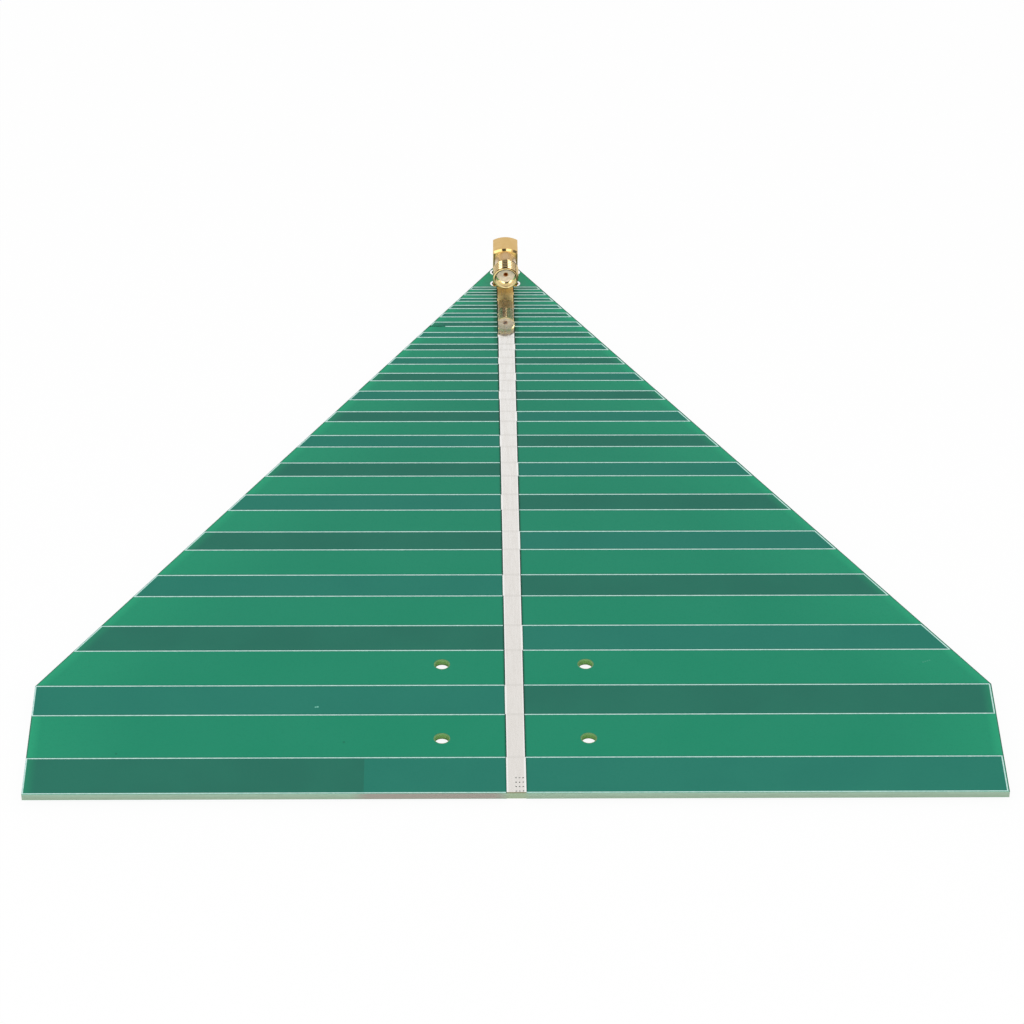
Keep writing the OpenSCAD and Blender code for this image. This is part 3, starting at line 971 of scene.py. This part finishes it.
def white_floor():
    """Matt white that takes shadows, and looks white to the camera and to shiny surfaces."""
    f = Finish("white_floor")
    dust = f.noise(f.vector(*f.place()), 0.02, 2.0)
    matt = f.node("ShaderNodeBsdfDiffuse", None, {"Color": f.mix(f.rise(dust, 0.3, 0.7), *FLOOR_TONES)})
    glow = f.node("ShaderNodeEmission", None, {"Color": WHITE, "Strength": 1.0})
    seen = f.most(f.ray("Camera"), f.ray("Glossy"), f.ray("Transmission"))
    return f.done(f.blend(seen * FLOOR_GLOW, matt, glow))


def studio_floor():
    """A round white table top with a wide apron."""
    take()
    bpy.ops.mesh.primitive_circle_add(vertices=FLOOR_SIDES, radius=FLOOR_R, fill_type="NGON",
                                      location=(0, FLOOR_Y, cad_box[0][2]))
    bpy.ops.object.mode_set(mode="EDIT")
    pick("faces", lambda face: True)
    bpy.ops.mesh.inset(thickness=FLOOR_APRON)
    floor = settle("studio_floor")
    floor.data.materials.append(white_floor())


def studio_world():
    """Even white light all round. Shiny metal sees it too, with two dark panels on the camera's side."""
    world = bpy.data.worlds.new("studio")
    world.use_nodes = True
    bpy.context.scene.world = world
    n = Nodes(world.node_tree)
    x, y, z = n.parts(n.node("ShaderNodeTexCoord", out="Generated"))
    ahead = 0 - y
    aside = x / n.most(ahead, 0.05)
    middle = n.fall(abs(aside - MIDDLE_PANEL_X), *MIDDLE_PANEL_HALF, MIDDLE_PANEL_DARK)
    middle = middle * n.rise(z, *MIDDLE_PANEL_FOOT) * n.fall(z, *MIDDLE_PANEL_TOP)
    right = n.rise(aside, *RIGHT_PANEL_NEAR) * n.fall(aside, *RIGHT_PANEL_FAR, RIGHT_PANEL_DARK)
    right = right * n.fall(z, *RIGHT_PANEL_TOP)
    dark = n.most(middle, right) * n.rise(ahead, *PANEL_FRONT)
    seen = n.most(n.ray("Camera"), n.ray("Transmission"))
    mirrored = n.ray("Glossy")
    level = n.most(seen, mirrored * (1 - dark), (1 - seen) * (1 - mirrored) * AMBIENT)
    sky = n.node("ShaderNodeBackground", None, {"Color": WHITE, "Strength": level})
    n.node("ShaderNodeOutputWorld", None, {"Surface": sky})


def soft_lamp(name, azimuth, elevation, width, level):
    """A soft box that faces the jack and that the camera doesn't see."""
    around = math.radians(azimuth)
    above = math.radians(elevation)
    level_way = Vector((math.sin(around), -math.cos(around), 0))
    way = level_way * math.cos(above) + Vector((0, 0, math.sin(above)))
    lamp = bpy.data.lights.new(name, "AREA")
    lamp.shape = "RECTANGLE"
    lamp.size = width
    lamp.size_y = LAMP_H
    lamp.energy = math.pi * width * LAMP_H * level
    holder = bpy.data.objects.new(name, lamp)
    holder.location = LAMP_TARGET + way * LAMP_AWAY
    holder.rotation_euler = way.to_track_quat("Z", "Y").to_euler()
    holder.visible_camera = False
    bpy.context.collection.objects.link(holder)


def photo_camera():
    """The photograph's own viewpoint."""
    flat = Vector((math.sin(CAMERA_YAW), math.cos(CAMERA_YAW), 0))
    ahead = flat * math.cos(CAMERA_PITCH) - Vector((0, 0, math.sin(CAMERA_PITCH)))
    side = Vector((flat.y, -flat.x, 0))
    up = side.cross(ahead)
    right = math.cos(CAMERA_ROLL) * side + math.sin(CAMERA_ROLL) * up
    top = -math.sin(CAMERA_ROLL) * side + math.cos(CAMERA_ROLL) * up
    lens = bpy.data.cameras.new("photo_camera")
    lens.sensor_width = SENSOR_MM
    lens.lens = FOCAL_PX / PHOTO_PX * SENSOR_MM
    lens.clip_start = NEAREST
    lens.clip_end = FARTHEST
    camera = bpy.data.objects.new("photo_camera", lens)
    turned = Matrix((right, top, -ahead)).transposed().to_4x4()
    camera.matrix_world = Matrix.Translation(CAMERA_PLACE) @ turned
    bpy.context.collection.objects.link(camera)
    bpy.context.scene.camera = camera


studio_floor()
studio_world()
for lamp_name, setting in LAMPS.items():
    soft_lamp(lamp_name, *setting)
photo_camera()
bpy.context.scene.view_settings.view_transform = "Standard"
